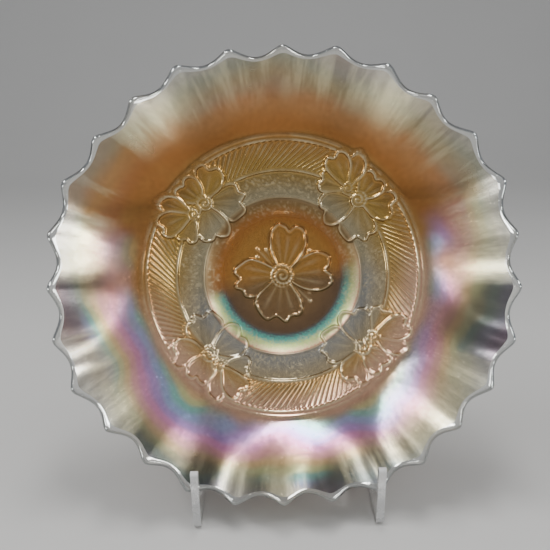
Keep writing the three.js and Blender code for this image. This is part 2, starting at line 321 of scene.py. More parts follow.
class BowlForm:
    """The bowl's section and its worked rim, in millimetres in the bowl's own frame."""

    def __init__(self, bowl):
        self.rim_radius = bowl.rim_radius / MM
        self.rim_height = bowl.rim_height / MM
        self.rim_wall = bowl.rim_wall / MM
        self.base_wall = bowl.base_wall / MM
        self.scallops = bowl.scallops
        self.scallop_depth = bowl.scallop_depth / MM
        self.ruffles = bowl.ruffles
        self.ruffle_rise = bowl.ruffle_rise / MM
        self.ruffle_sway = bowl.ruffle_sway / MM
        self.well_edge = FLOOR_HEIGHT + WELL_DEPTH
        self.border_inner = self.well_edge + RING_SLOPE * (BORDER_INNER_RADIUS - WELL_RADIUS)
        border_rise = BORDER_SLOPE * (BORDER_OUTER_RADIUS - BORDER_INNER_RADIUS)
        self.border_outer = self.border_inner + border_rise
        self.flare = self.rim_radius - BORDER_OUTER_RADIUS

    def inner_height(self, radius):
        """The inner face: dished floor, well wall, sloped ring, rope border and curved flare."""
        floor_edge = FLOOR_HEIGHT + FLOOR_DISH
        floor = FLOOR_HEIGHT + FLOOR_DISH * (radius / FLOOR_RADIUS) ** 2
        climb = np.clip((radius - FLOOR_RADIUS) / (WELL_RADIUS - FLOOR_RADIUS), 0, 1)
        well = mix(floor_edge, self.well_edge, climb ** 2)
        ring = self.well_edge + RING_SLOPE * (radius - WELL_RADIUS)
        border = self.border_inner + BORDER_SLOPE * (radius - BORDER_INNER_RADIUS)
        run = radius - BORDER_OUTER_RADIUS
        rise = self.rim_height - self.border_outer - FLARE_START_SLOPE * self.flare
        flare = self.border_outer + FLARE_START_SLOPE * run + rise * (run / self.flare) ** 2
        limits = [FLOOR_RADIUS, WELL_RADIUS, BORDER_INNER_RADIUS, BORDER_OUTER_RADIUS]
        zones = [radius <= limit for limit in limits]
        return np.select(zones, [floor, well, ring, border], flare)

    def slope(self, radius):
        """How steeply the inner face rises with the radius."""
        step = 0.5
        return (self.inner_height(radius) - self.inner_height(radius - step)) / step

    def flare_run(self, radius):
        """0 up to the border's edge, rising to 1 at the rim."""
        return np.clip((radius - BORDER_OUTER_RADIUS) / self.flare, 0, 1)

    def outer_height(self, radius):
        """The outer face, one wall's thickness square to the inner one."""
        wall = mix(self.base_wall, self.rim_wall, self.flare_run(radius))
        slope = np.maximum(self.slope(radius), RING_SLOPE)
        return self.inner_height(radius) - wall * np.hypot(1, slope)

    def worked(self, radius, height, even_angle):
        """Where the rim's ruffles, oval and scallops take a point of the round section."""
        stretch = SCALLOP_STRETCH * np.cos(even_angle - math.radians(SCALLOP_STRETCH_AT))
        angle = even_angle + np.radians(SCALLOP_TURN + stretch)
        run = self.flare_run(radius)
        fold = np.cos(self.ruffles * (angle - math.radians(RUFFLE_AT)))
        swell = run ** 2 * (3 - 2 * run)
        wave = np.sin(self.scallops / 2 * even_angle)
        rounded = np.sqrt((wave ** 2 + SCALLOP_ROUNDING ** 2) / (1 + SCALLOP_ROUNDING ** 2))
        cut = self.scallop_depth * run ** SCALLOP_REACH * (rounded - SCALLOP_ROUNDING)
        oval = RIM_OVAL * np.cos(2 * (angle - math.radians(RIM_OVAL_AT)))
        reach = radius + swell * (oval + self.ruffle_sway * fold) - cut
        level = height - swell * self.ruffle_rise * fold - cut * self.slope(self.rim_radius)
        return np.stack([reach * np.cos(angle), reach * np.sin(angle), level], axis=-1)

    def rim_edge(self, steps):
        """Radii and heights of the half circle from the inner face over the rim to the outer."""
        edge = self.rim_wall / 2
        steepness = math.atan(self.slope(self.rim_radius))
        start = self.rim_radius - edge
        inner = np.array([start, self.inner_height(start)])
        across = np.array([math.sin(steepness), -math.cos(steepness)])
        outward = np.array([math.cos(steepness), math.sin(steepness)])
        turns = np.linspace(-math.pi / 2, math.pi / 2, steps)
        centre = inner + across * edge
        return [centre + edge * (outward * math.cos(t) + across * math.sin(t)) for t in turns]


# ------------------------------------------------------------------ pressed relief


def closed_curve(points, steps=7):
    """A smooth closed curve through the points."""
    knots = np.array(points, float)
    shares = np.arange(steps)[:, None] / steps
    spans = []
    for index in range(len(knots)):
        a, b, c, d = (knots[(index + shift) % len(knots)] for shift in (-1, 0, 1, 2))
        bend = 2 * b + (c - a) * shares + (2 * a - 5 * b + 4 * c - d) * shares ** 2
        spans.append(0.5 * (bend + (3 * b - a - 3 * c + d) * shares ** 3))
    return np.concatenate(spans)


def depth_inside(outline, x, y):
    """Distance from the outline, positive inside it and negative outside."""
    start = outline
    run = np.roll(outline, -1, axis=0) - start
    to_x = x[:, None] - start[:, 0]
    to_y = y[:, None] - start[:, 1]
    share = (to_x * run[:, 0] + to_y * run[:, 1]) / np.maximum((run ** 2).sum(axis=1), 1e-9)
    share = np.clip(share, 0, 1)
    gaps = np.hypot(to_x - share * run[:, 0], to_y - share * run[:, 1])
    above = to_y < 0
    ends_above = to_y - run[:, 1] < 0
    crossing = to_x - run[:, 0] * to_y / np.where(run[:, 1] == 0, 1e-9, run[:, 1]) < 0
    inside = ((above != ends_above) & crossing).sum(axis=1) % 2 == 1
    return np.where(inside, 1, -1) * gaps.min(axis=1)


def rope_turn(radius):
    """How far the rope's ridges have turned from the inner wire at a radius, slightly bowed."""
    run = (radius - BORDER_INNER_RADIUS) / (BORDER_OUTER_RADIUS - BORDER_INNER_RADIUS + 1)
    run = np.clip(run, 0, 1)
    full_turn = ROPE_TURN_STEPS / (FINE_COLUMNS / 2) * 2 * np.pi
    return -full_turn * (run + 0.1 * np.sin(np.pi * run))


def grain(x, y, size):
    """Smoothed random bumps between -1 and 1 on a fixed lattice of the given size."""
    lattice = np.random.default_rng(7).uniform(-1, 1, (GRAIN_CELLS, GRAIN_CELLS))
    column, row = np.floor(x / size).astype(int), np.floor(y / size).astype(int)
    across, along = smooth(0, 1, x / size - column), smooth(0, 1, y / size - row)

    def corner(dx, dy):
        return lattice[(column + dx) % GRAIN_CELLS, (row + dy) % GRAIN_CELLS]

    low = mix(corner(0, 0), corner(1, 0), across)
    high = mix(corner(0, 1), corner(1, 1), across)
    return mix(low, high, along)


class PressedRelief:
    """The pressed ornament's heights over points of the inner face, in millimetres."""

    def __init__(self, x, y, even_angle, height, ridges):
        """Takes points of the bowl, their even angles, the tallest lines' height and the number of
        the rope's ridges."""
        self.x, self.y = x, y
        self.radius = np.hypot(x, y)
        self.even_angle = even_angle
        self.peak = height
        self.ridges = ridges
        self.height = np.zeros_like(x)
        # How far the mould's lines stand out: 1 on a crest, below 0 in the dark line beside it. The
        # film paints a highlight on the crests and shade on the dark lines.
        self.crest = np.zeros_like(x)

    def build(self, form):
        """Adds every ornament; what comes later lies over what is there."""
        self.well_step()
        self.stipple()
        self.rope_border()
        for centre_angle, twist in BLOSSOM_PAIRS:
            self.blossom_pair(math.radians(centre_angle), twist)
        self.middle_flower()
        self.scallop_ribs(form)

    def well_step(self):
        """A crisp step and a raised line round the well, and a faint ring in its floor."""
        inside = smooth(WELL_RADIUS, WELL_RADIUS - 0.9, self.radius)
        fades = smooth(FLOOR_RADIUS, WELL_RADIUS - 3, self.radius)
        self.height -= WELL_STEP * inside * fades
        line = ridge(self.radius - WELL_RADIUS - 0.5, 0.6)
        self.height += WELL_LINE_HEIGHT * line
        self.height += FLOOR_RING_HEIGHT * ridge(self.radius - FLOOR_RADIUS - 1.5, 0.8)
        # Crest: a painted highlight on the raised line and painted shade just inside the step.
        self.crest += 0.35 * line - 0.45 * ridge(self.radius - WELL_RADIUS + 0.9, 0.7)

    def stipple(self):
        """Fine grain on the ring round the well and on the well's upper wall."""
        on_ring = smooth(WELL_RADIUS + 1.2, WELL_RADIUS + 2.2, self.radius)
        on_ring *= smooth(BORDER_INNER_RADIUS - 0.6, BORDER_INNER_RADIUS - 1.6, self.radius)
        on_well = 0.7 * smooth(FLOOR_RADIUS + 3, FLOOR_RADIUS + 6, self.radius)
        on_well *= smooth(WELL_RADIUS - 1, WELL_RADIUS - 2, self.radius)
        bumps = 0.6 * grain(self.x, self.y, GRAIN_SIZE)
        bumps += 0.4 * grain(self.y, self.x, GRAIN_SIZE * 0.62)
        self.height += GRAIN_HEIGHT * bumps * (on_ring + on_well)
        # The grain's bumps also mark painted glints.
        self.crest += 1.1 * bumps * (on_ring + 1.1 * on_well)

    def rope_border(self):
        """Wires with slanted, slightly bowed ridges between the first two."""
        between = smooth(INNER_WIRE_RADIUS + 0.4, INNER_WIRE_RADIUS + 1.8, self.radius)
        between *= smooth(OUTER_WIRE_RADIUS - 0.4, OUTER_WIRE_RADIUS - 1.8, self.radius)
        wave = 0.5 + 0.5 * np.cos(self.ridges * (self.even_angle - rope_turn(self.radius)))
        self.height += 0.8 * self.peak * between * wave ** 0.8
        self.height -= 0.25 * between
        # Crest: painted highlights on the ridges and painted shade between them.
        self.crest += between * (0.95 * wave - 0.45)
        for radius, share in WIRES:
            gap = self.radius - radius
            self.height += self.peak * share * ridge(gap, WIRE_WIDTH)
            # Crest: a painted highlight on the wire and painted shade lines beside it.
            self.crest += share * (1.1 * ridge(gap, 0.6) - 0.5 * ridge(np.abs(gap) - 1.2, 0.45))

    def petal(self, centre, direction, length, width, points, veins):
        """Lays one petal over whatever lies below it."""
        along = np.array([math.cos(direction), math.sin(direction)])
        across = np.array([-along[1], along[0]])
        normalised = closed_curve(points)
        outline = centre + np.outer(normalised[:, 1] * length, along)
        outline += np.outer(normalised[:, 0] * width, across)
        reach = length * 0.72 + 4
        middle = centre + along * length / 2
        near = np.flatnonzero(np.hypot(self.x - middle[0], self.y - middle[1]) < reach)
        x, y = self.x[near], self.y[near]
        depth = depth_inside(outline, x, y)
        run = ((x - centre[0]) * along[0] + (y - centre[1]) * along[1]) / length
        side = ((x - centre[0]) * across[0] + (y - centre[1]) * across[1]) / width
        fan = np.arctan2(side, np.maximum(run, 0.05))
        cup = 0.36 * smooth(0.1, 1.1, run) + 0.34 * np.abs(side) ** 1.5
        vein = (0.5 + 0.5 * np.cos(fan * veins * 2)) ** 3
        vein = vein * smooth(0.12, 0.35, run) * smooth(0.95, 0.55, run)
        body = 0.18 + cup + 0.1 * vein
        face = self.peak * (body + 0.95 * ridge(depth - OUTLINE_INSET, OUTLINE_WIDTH))
        # The outline gets a painted highlight, and the line just outside it painted shade.
        shade_line = 0.6 * ridge(depth + SHADE_LINE_OFFSET, 0.5)
        line = ridge(depth - OUTLINE_INSET, 0.62) - shade_line - 0.25 * ridge(depth - 1.6, 0.7)
        self.lay(near, smooth(-1.35, -0.25, depth), face, line + 0.3 * vein * smooth(0.5, 2, depth))
        self.crest[near] -= shade_line

    def lay(self, near, cover, face, crest):
        """Covers the points near with a raised face and its crests."""
        self.height[near] = mix(self.height[near], face, cover)
        self.crest[near] = mix(self.crest[near], crest, cover)

    def seed_disc(self, centre, radius, coil_pitch, beads):
        """A domed disc of coiled and beaded rings."""
        gap = np.hypot(self.x - centre[0], self.y - centre[1])
        near = np.flatnonzero(gap < radius + 1.5)
        distance = gap[near]
        turn = np.arctan2(self.y[near] - centre[1], self.x[near] - centre[0])
        dome = 0.75 + 0.55 * np.sqrt(np.clip(1 - (distance / radius) ** 2, 0, 1))
        coil = 0.3 * np.cos(2 * np.pi * (distance / coil_pitch) - turn)
        bead = 0.16 * np.cos(beads * turn) * smooth(radius * 0.45, radius * 0.8, distance)
        face = self.peak * (dome + coil + bead)
        # Crest: painted glints on the coils, the beads and the edge.
        crest = 0.2 + 2.8 * (coil + bead) + 0.7 * ridge(distance - radius + 0.3, 0.5)
        self.lay(near, smooth(radius + 0.5, radius - 0.6, distance), face, crest)

    def blossom_pair(self, angle, twist):
        """Two overlapping blossoms on the border, the main one centred at the angle."""
        outward = np.array([math.cos(angle), math.sin(angle)])
        onward = np.array([-outward[1], outward[0]])
        main = outward * BLOSSOM_RADIUS
        second = main + onward * SECOND_BLOSSOM_STEP + outward * 0.4
        tangent = angle + math.pi / 2
        for centre, petals in ((main, MAIN_PETALS), (second, SECOND_PETALS)):
            for direction, length, width, points in petals:
                turn = tangent - math.radians(direction + twist)
                self.petal(centre, turn, length, width, points, veins=7)
        self.seed_disc(second, SECOND_DISC_RADIUS, 2.0, 10)
        self.seed_disc(main, DISC_RADIUS, 2.2, 13)

    def stamen(self, direction, length):
        """A fine stalk with a bead on its end."""
        along = np.array([math.cos(direction), math.sin(direction)])
        run = self.x * along[0] + self.y * along[1]
        side = -self.x * along[1] + self.y * along[0]
        stalk = ridge(side, 0.5) * smooth(6, 7.5, run) * smooth(length, length - 1, run)
        bead = ridge(np.hypot(run - length, side), 0.95)
        raised = np.maximum(0.55 * stalk, 0.95 * bead)
        self.height = np.maximum(self.height, self.peak * raised)
        # Crest: a painted highlight along the stamen.
        self.crest = np.maximum(self.crest, raised)

    def middle_flower(self):
        """The flower in the well's floor, with tufts of stamens between its petals."""
        for tuft in STAMEN_TUFTS:
            for place, length in enumerate(STAMEN_LENGTHS):
                self.stamen(math.radians(tuft + (place - 1) * STAMEN_SPREAD), length)
        for direction, length, width, points in CENTRE_PETALS:
            self.petal(np.zeros(2), math.radians(direction), length, width, points, veins=8)
        self.seed_disc(np.zeros(2), CENTRE_DISC_RADIUS, 2.5, 17)

    def scallop_ribs(self, form):
        """A narrow rib that runs down the flare from each point of the rim."""
        from_tip = np.abs(np.sin(form.scallops / 2 * self.even_angle)) / (form.scallops / 2)
        share = smooth(form.rim_radius - 24, form.rim_radius - 4, self.radius)
        self.height += RIB_HEIGHT * share * ridge(from_tip * self.radius, RIB_WIDTH)


# ------------------------------------------------------------------ mesh of the bowl


def even_steps(start, end, step):
    """Values from start up to end, without end, no further apart than step."""
    count = max(1, math.ceil(abs(end - start) / step))
    return list(np.linspace(start, end, count, endpoint=False))


Ring = namedtuple("Ring", "first columns slot is_inner")


class RingGrid:
    """Rings of points round the axis, joined into faces; neighbours may differ two to one."""

    def __init__(self):
        self.points, self.rings = [], []
        self.count = 0

    def ring(self, radius, height, columns, shear, slot, is_inner):
        angles = np.arange(columns) / columns * 2 * np.pi + shear
        self.points.append(np.stack([np.full(columns, radius), np.full(columns, height), angles]))
        self.rings.append(Ring(self.count, columns, slot, is_inner))
        self.count += columns

    def joined(self):
        """Faces as lists of point numbers, and each face's material slot."""
        faces, slots = [], []
        for ring, following in zip(self.rings, self.rings[1:]):
            added = band_faces(ring, following)
            faces += added
            slots += [following.slot] * len(added)
        for ring, is_start in ((self.rings[0], True), (self.rings[-1], False)):
            faces += cap_faces(ring, self.count + (0 if is_start else 1), is_start)
            slots += [ring.slot] * ring.columns
        return faces, slots


def band_faces(ring, following):
    """Faces between two rings, seen from inside the bowl."""

    def near(index):
        return ring.first + index % ring.columns

    def far(index):
        return following.first + index % following.columns

    if ring.columns == following.columns:
        return [(near(i), far(i), far(i + 1), near(i + 1)) for i in range(ring.columns)]
    faces = []
    if ring.columns < following.columns:
        for i in range(ring.columns):
            middle = far(2 * i + 1)
            faces += [(near(i), far(2 * i), middle), (near(i), middle, near(i + 1)),
                      (near(i + 1), middle, far(2 * i + 2))]
        return faces
    for i in range(following.columns):
        middle = near(2 * i + 1)
        faces += [(near(2 * i), far(i), middle), (middle, far(i), far(i + 1)),
                  (middle, far(i + 1), near(2 * i + 2))]
    return faces


def cap_faces(ring, centre, is_start):
    """A fan from a ring to the point in its middle."""
    loop = list(range(ring.first, ring.first + ring.columns))
    pairs = zip(loop, loop[1:] + loop[:1])
    return [(centre, a, b) if is_start else (centre, b, a) for a, b in pairs]


def inner_rings(grid, form):
    """The inner face, from its middle out to the rim."""
    half, quarter = FINE_COLUMNS // 2, FINE_COLUMNS // 4
    rim_start = form.rim_radius - form.rim_wall / 2
    # (start, end, step, columns, whether the columns lean with the rope's ridges)
    zones = [
        (CENTRE_STEP * 1.5, CENTRE_FINE_RADIUS, CENTRE_STEP, quarter, False),
        (CENTRE_FINE_RADIUS, RELIEF_START_RADIUS, MIDDLE_STEP, half, False),
        (RELIEF_START_RADIUS, RELIEF_END_RADIUS, RELIEF_STEP, FINE_COLUMNS, True),
        (RELIEF_END_RADIUS, rim_start, FLARE_STEP, half, True),
    ]
    for start, end, step, columns, leans in zones:
        for radius in even_steps(start, end, step):
            shear = rope_turn(radius) if leans else 0
            grid.ring(radius, form.inner_height(radius), columns, shear, FILM_SLOT, True)


def outer_rings(grid, form):
    """Over the rim, down the outer face, round the foot ring and across the underside."""
    half, quarter = FINE_COLUMNS // 2, FINE_COLUMNS // 4
    shear = rope_turn(form.rim_radius)
    edge = form.rim_edge(RIM_EDGE_STEPS)
    for radius, height in edge:
        grid.ring(radius, height, half, shear, RIM_SLOT, False)
    flare_end, end_height = edge[-1]
    for radius in even_steps(flare_end - 1.2, BORDER_OUTER_RADIUS, OUTER_FLARE_STEP):
        height = outer_wall_height(form, radius, flare_end, end_height)
        grid.ring(radius, height, half, shear, BACK_SLOT, False)
    for radius in even_steps(BORDER_OUTER_RADIUS, FOOT_RADIUS + 1.5, OUTER_WALL_STEP):
        grid.ring(radius, form.outer_height(radius), quarter, shear, BACK_SLOT, False)
    for radius, height in foot_profile(form.outer_height(FOOT_RADIUS)):
        grid.ring(radius, height, quarter, shear, BACK_SLOT, False)


def foot_profile(top):
    """(radius, height) from the wall above the foot ring, round the ring, to the underside's middle."""
    profile = [(FOOT_RADIUS + 0.5, top + 0.35), (FOOT_RADIUS + 0.05, top - 0.4)]
    profile += [(FOOT_RADIUS, height) for height in np.linspace(top - 1.2, FOOT_ROUNDING, 4)]
    for turn in np.linspace(0, math.pi / 2, 5)[1:]:
        profile.append((FOOT_RADIUS - FOOT_ROUNDING * (1 - math.cos(turn)),
                        FOOT_ROUNDING * (1 - math.sin(turn))))
    inner = FOOT_RADIUS - FOOT_RING_WIDTH
    profile += [(FOOT_RADIUS - 2.2, 0), (inner + 0.6, 0), (inner + 0.1, 0.2)]
    profile += [(inner - 0.5, FOOT_RECESS - 0.9), (inner - FOOT_ROUNDING, FOOT_RECESS - 0.15)]
    return profile + [(radius, FOOT_RECESS) for radius in even_steps(inner - 1.8, 2, UNDERSIDE_STEP)]


def outer_wall_height(form, radius, flare_end, end_height):
    """The outer face's height, eased into the rounded rim's end."""
    edge_gap = end_height - form.outer_height(flare_end)
    return form.outer_height(radius) + edge_gap * smooth(flare_end - OUTER_EASE, flare_end, radius)


def bowl_mesh(bowl):
    """The bowl in its own frame: relief on the inner face, and each point's crest, from which the film
    paints highlights and shade on the relief.
    """
    form = BowlForm(bowl)
    grid = RingGrid()
    inner_rings(grid, form)
    outer_rings(grid, form)
    radius, height, angle = np.concatenate(grid.points, axis=1)
    places = form.worked(radius, height, angle)
    is_inner = np.concatenate([np.full(ring.columns, ring.is_inner) for ring in grid.rings])
    inner = np.flatnonzero(is_inner)
    relief = PressedRelief(
        places[inner, 0], places[inner, 1], angle[inner], bowl.relief / MM, bowl.rope_ridges)
    relief.build(form)
    # The relief stands square to the section's slope.
    slope = form.slope(radius[inner])
    length = np.hypot(1, slope)
    direction = np.arctan2(places[inner, 1], places[inner, 0])
    places[inner, 0] -= relief.height * slope / length * np.cos(direction)
    places[inner, 1] -= relief.height * slope / length * np.sin(direction)
    places[inner, 2] += relief.height / length
    floor_middle = [0, 0, places[:grid.rings[0].columns, 2].mean()]
    underside_middle = [0, 0, FOOT_RECESS]
    places = np.concatenate([places, [floor_middle, underside_middle]])
    faces, slots = grid.joined()
    mesh = bpy.data.meshes.new("lustre_bowl")
    mesh.from_pydata((places * MM).tolist(), [], faces)
    mesh.polygons.foreach_set("material_index", slots)
    mesh.polygons.foreach_set("use_smooth", [True] * len(faces))
    crest = np.zeros(len(places))
    crest[inner] = relief.crest
    mesh.attributes.new("crest", "FLOAT", "POINT").data.foreach_set("value", crest)
    mesh.update()
    return mesh


def bowl_place():
    """Where the bowl's own frame stands, from the record's mount on the foot ring."""
    mounts = frame["record"]["mounts"]
    ring = next(mount for mount in mounts if mount["name"] == "bowl_foot_ring")
    mouth = -Vector(ring["axis"]).normalized()
    side = Vector((1, 0, 0))
    up = mouth.cross(side)
    foot_centre = Vector(ring["pos_m"]) + up * FOOT_MOUNT_DROP * MM
    turn = Matrix((side, up, mouth)).transposed().to_4x4()
    return Matrix.Translation(foot_centre) @ turn


# ------------------------------------------------------------------ shader helpers


class Mixer:
    """Adds shader nodes to one tree; its methods give the new node's output."""

    def __init__(self, tree):
        self.tree = tree

    def feed(self, socket, value):
        """Gives an input socket a constant, or links another socket to it."""
        if isinstance(value, bpy.types.NodeSocket):
            self.tree.links.new(value, socket)
        elif socket.type == "RGBA":
            socket.default_value = (*value, 1)
        else:
            socket.default_value = value

    def node(self, kind, inputs=None, **options):
        """All outputs of a new node."""
        node = self.tree.nodes.new(kind)
        for name, value in options.items():
            setattr(node, name, value)
        for name, value in (inputs or {}).items():
            self.feed(node.inputs[name], value)
        return node.outputs

    def math(self, operation, first, second=0.0, third=0.0, clamp=False):
        inputs = {0: first, 1: second, 2: third}
        return self.node("ShaderNodeMath", inputs, operation=operation, use_clamp=clamp)[0]

    def plus(self, first, second):
        return self.math("ADD", first, second)

    def minus(self, first, second):
        return self.math("SUBTRACT", first, second)

    def times(self, first, second):
        return self.math("MULTIPLY", first, second)

    def scaled(self, value, factor, offset):
        """value * factor + offset"""
        return self.math("MULTIPLY_ADD", value, factor, offset)

    def eased(self, value, low, high):
        """0 at low and 1 at high with an even curve; low may be the larger."""
        limits = {"Value": value, "From Min": low, "From Max": high}
        return self.node("ShaderNodeMapRange", limits, interpolation_type="SMOOTHSTEP")["Result"]

    def between(self, value, rise, fall):
        """1 between two eased edges, each given as (where it is 0, where it is 1)."""
        return self.times(self.eased(value, *rise), self.eased(value, *fall))

    def blend(self, share, first, second):
        """The first colour at a share of 0 and the second at 1."""
        inputs = {"Factor": share, "A": first, "B": second}
        return self.node("ShaderNodeMix", inputs, data_type="RGBA")["Result"]

    def ramp(self, value, stops):
        """A colour ramp whose stops are (place, colour), with places counted from 0 to the last."""
        node = self.tree.nodes.new("ShaderNodeValToRGB")
        node.color_ramp.interpolation = "EASE"
        elements = node.color_ramp.elements
        span = stops[-1][0]
        for place, colour in stops[1:-1]:
            elements.new(place / span).color = (*colour, 1)
        for end in (0, -1):
            elements[end].position = stops[end][0] / span
            elements[end].color = (*stops[end][1], 1)
        self.feed(node.inputs["Fac"], self.math("DIVIDE", value, span))
        return node.outputs["Color"]

    def share_ramp(self, value, stops):
        """A ramp of plain shares from 0 to 1."""
        return self.ramp(value, [(place, (share,) * 3) for place, share in stops])

    def noise(self, place, scale, detail=2.0, roughness=0.5, output="Fac"):
        inputs = {"Vector": place, "Scale": scale, "Detail": detail, "Roughness": roughness}
        return self.node("ShaderNodeTexNoise", inputs)[output]

    def place(self):
        """The shaded point in the piece's own frame, in metres."""
        return self.node("ShaderNodeTexCoord")["Object"]

    def parts(self, vector):
        return self.node("ShaderNodeSeparateXYZ", {0: vector})

    def joined(self, x, y, z=0.0):
        return self.node("ShaderNodeCombineXYZ", {0: x, 1: y, 2: z})[0]

    def group(self, name, inputs):
        return self.node("ShaderNodeGroup", inputs, node_tree=bpy.data.node_groups[name])[0]


def new_group(name, inputs, output):
    """A node group of plain numbers, with its mixer, its inputs and its one output's socket."""
    group = bpy.data.node_groups.new(name, "ShaderNodeTree")
    for label, default in inputs.items():
        socket = group.interface.new_socket(label, in_out="INPUT", socket_type="NodeSocketFloat")
        socket.default_value = default
    group.interface.new_socket(output, in_out="OUTPUT", socket_type="NodeSocketFloat")
    start, end = group.nodes.new("NodeGroupInput"), group.nodes.new("NodeGroupOutput")
    return Mixer(group), start.outputs, end.inputs[output]


def make_handling_haze():
    """Faint smears and fine dust that vary how sharp a polished face's gloss is."""
    mixer, given, result = new_group(
        "handling haze", {"Clean": 0.05, "Smeared": 0.2, "Size": 60.0}, "Roughness")
    place = mixer.place()
    smears = mixer.noise(place, given["Size"], 5.0, 0.62)
    dust = mixer.noise(place, mixer.times(given["Size"], 22.0), 1.0)
    dusty = mixer.times(mixer.eased(dust, 0.62, 0.72), 0.5)
    share = mixer.math("MAXIMUM", mixer.eased(smears, 0.42, 0.72), dusty)
    span = mixer.minus(given["Smeared"], given["Clean"])
    mixer.feed(result, mixer.scaled(share, span, given["Clean"]))


def make_pressed_waviness():
    """The slow waves and small pits of pressed or moulded clear material."""
    mixer, given, result = new_group("pressed waviness", {"Size": 40.0, "Pits": 0.3}, "Height")
    place = mixer.place()
    waves = mixer.noise(place, given["Size"])
    specks = mixer.noise(place, mixer.times(given["Size"], 16.0), 1.0)
    pits = mixer.times(mixer.eased(specks, 0.7, 0.78), given["Pits"])
    mixer.feed(result, mixer.minus(waves, pits))


def new_finish(name, constants):
    """A material with one Principled shader, its constants set on the shader's own sockets."""
    material = bpy.data.materials.new(name)
    material.use_nodes = True
    mixer = Mixer(material.node_tree)
    sockets = material.node_tree.nodes["Principled BSDF"].inputs
    for label, value in constants.items():
        mixer.feed(sockets[label], value)
    return material, mixer, sockets


def haze(mixer, clean, smeared, size):
    return mixer.group("handling haze", {"Clean": clean, "Smeared": smeared, "Size": size})


def give_waves(mixer, sockets, size, pits, strength, depth):
    """Bends the shader's normals with slow waves, whose depth is in metres."""
    height = mixer.group("pressed waviness", {"Size": size, "Pits": pits})
    bump = mixer.node("ShaderNodeBump", {"Height": height, "Strength": strength, "Distance": depth})
    mixer.feed(sockets["Normal"], bump["Normal"])


def polar_place(mixer):
    """The point flattened on the rim's plane, its radius in millimetres and its angle in degrees."""
    x, y, _ = mixer.parts(mixer.place())
    flat = mixer.joined(x, y)
    length = mixer.node("ShaderNodeVectorMath", {0: flat}, operation="LENGTH")["Value"]
    angle = mixer.math("DEGREES", mixer.math("ARCTAN2", y, x))
    return flat, mixer.math("DIVIDE", length, MM), angle


# ------------------------------------------------------------------ finishes

COOL_GREY = (0.36, 0.36, 0.33)
DEEP_BROWN = (0.15, 0.09, 0.052)
ROSE = (0.70, 0.42, 0.27)
# Near-black painted into the flare's gaps as shade.
GAP_SHADE = (0.05, 0.038, 0.028)
# Painted glint colour for the relief's crests and painted shade colour beside them.
GLINT_GOLD = (0.90, 0.76, 0.46)
SHADE_GOLD = (0.14, 0.085, 0.03)

# Shares round the bowl as (degrees, share), counted counter-clockwise from the right.
SHEEN = [  # painted sheen: how pale the flare is painted, standing for its highlights
    (0, 0.95), (12, 0.85), (24, 0.25), (44, 0.15), (52, 0.9), (62, 0.95), (70, 0.35), (92, 0.25),
    (112, 0.25), (122, 0.9), (134, 1), (141, 0.05), (159, 0), (166, 0.9), (175, 1), (181, 0.02),
    (192, 0), (202, 0.85), (222, 1), (230, 0.12), (248, 0.08), (257, 0.95), (263, 0.5), (268, 1),
    (276, 0.15), (298, 0.25), (306, 0.9), (330, 1), (339, 0.02), (354, 0.02), (360, 0.95)]
AMBER_REACH = [  # how far the amber runs out to the rim
    (0, 0), (22, 0.4), (42, 0.3), (52, 0), (118, 0.1), (140, 0.75), (160, 0.75), (170, 0.1), (360, 0)]
SHADED_GAPS = [  # where the flare is painted dark as shade between its highlights
    (0, 0), (175, 0), (181, 0.8), (192, 0.85), (199, 0), (228, 0), (234, 0.85), (247, 0.8),
    (253, 0), (333, 0), (340, 0.9), (353, 0.9), (360, 0)]
RAINBOW = [  # how strongly the film's rainbow shows between the border and the flare, painted strongest where reflected light brings it out
    (0, 0.9), (16, 0.8), (24, 0), (160, 0), (170, 0.35), (182, 0.15), (196, 1), (234, 1),
    (243, 0.6), (252, 0.9), (300, 0.95), (312, 0.6), (340, 0.6), (352, 0.7), (360, 0.9)]
WELL_HIGHLIGHT = [  # how strongly the painted highlight, a bright arc, shows on the well's wall
    (0, 0.35), (16, 0.05), (190, 0), (204, 0.85), (262, 1), (322, 0.95), (344, 0.7), (360, 0.35)]

# The film's colours as it thickens, from one turn of the rainbow to the next.
OIL_COLOURS = [
    (0, (0.20, 0.56, 0.50)), (0.12, (0.62, 0.66, 0.30)), (0.25, (0.78, 0.52, 0.24)),
    (0.4, (0.78, 0.34, 0.36)), (0.55, (0.72, 0.26, 0.50)), (0.7, (0.46, 0.28, 0.66)),
    (0.85, (0.30, 0.42, 0.72)), (1, (0.20, 0.56, 0.50))]

# Where the well's painted highlight lies, and in which colours.
ARC_START = FLOOR_RADIUS + 2.5  # mm from the axis
ARC_COLOURS = [  # from the well's floor up its wall, in mm
    (0, DEEP_BROWN), (3.5, (0.10, 0.17, 0.20)), (6, (0.12, 0.56, 0.47)),
    (9.5, (0.58, 0.70, 0.25)), (12, (0.80, 0.70, 0.36)), (13.6, (0.80, 0.40, 0.28)), (16, COOL_GREY)]
LOWER_SIDE = 278  # degrees: the side towards which the colours are painted cooler and darker, as shade
FILM_END = 116  # mm from the axis, where the film's colour ramps end


